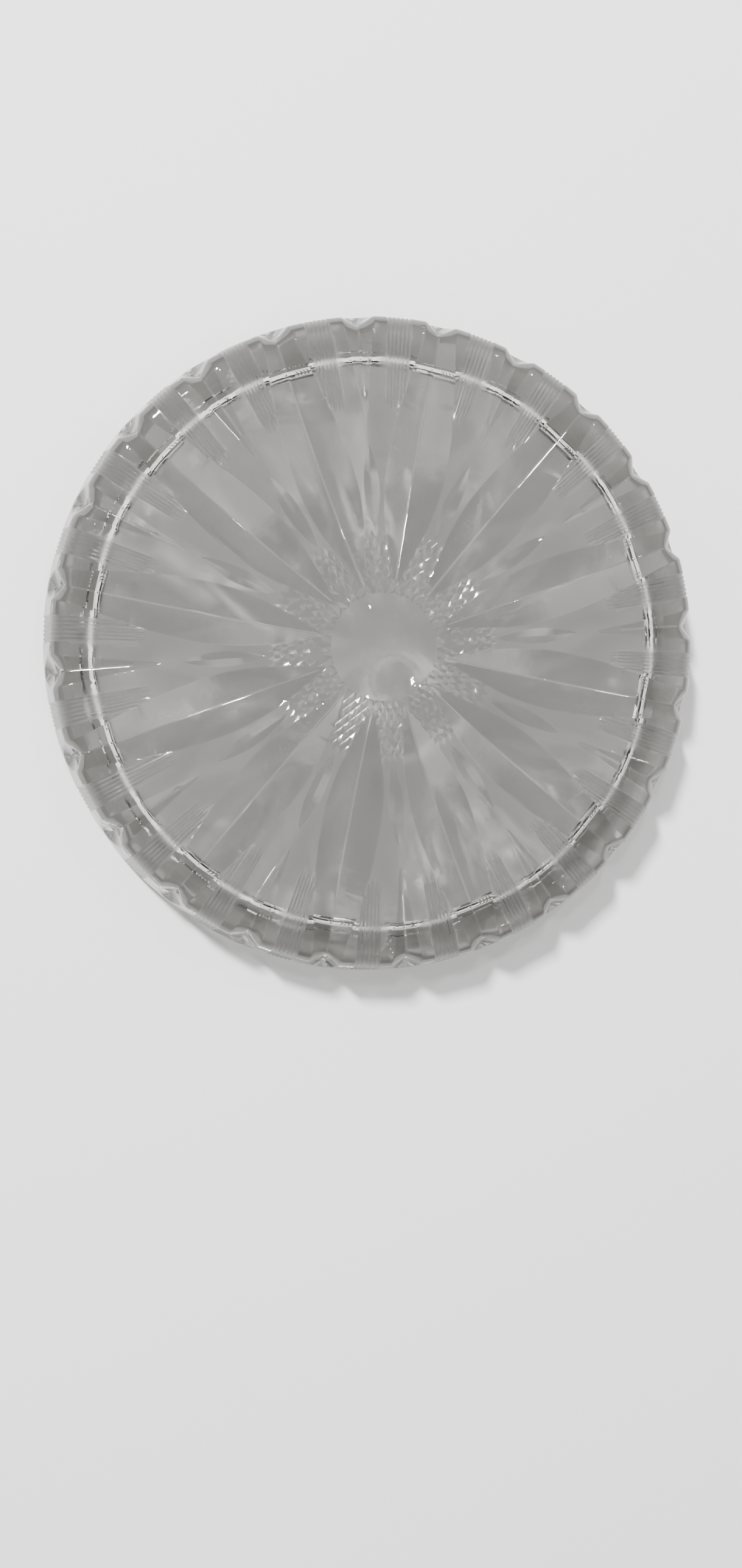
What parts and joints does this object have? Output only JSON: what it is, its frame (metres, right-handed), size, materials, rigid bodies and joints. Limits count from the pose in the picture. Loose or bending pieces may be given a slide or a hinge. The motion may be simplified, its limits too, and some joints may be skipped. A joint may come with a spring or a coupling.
{
  "type": "cut glass dish",
  "caption": "Shallow round clear-glass dish with a thick wall, standing on its rim, its base cut with a twelve-part star, fine grooves and a round hollow.",
  "frame": {"origin": "centre of the rim's circle, in the plane that the rim rests on", "axes": "+Z along the axis of the dish, from the rim to the cut face; +X to the right of the view"},
  "size_m": [0.165, 0.165, 0.018],
  "materials": {
    "clear_glass": "clear, polished facets with lightly worn edges"
  },
  "bodies": {
    "root": {"dish": "clear_glass"}
  },
  "joints": []
}
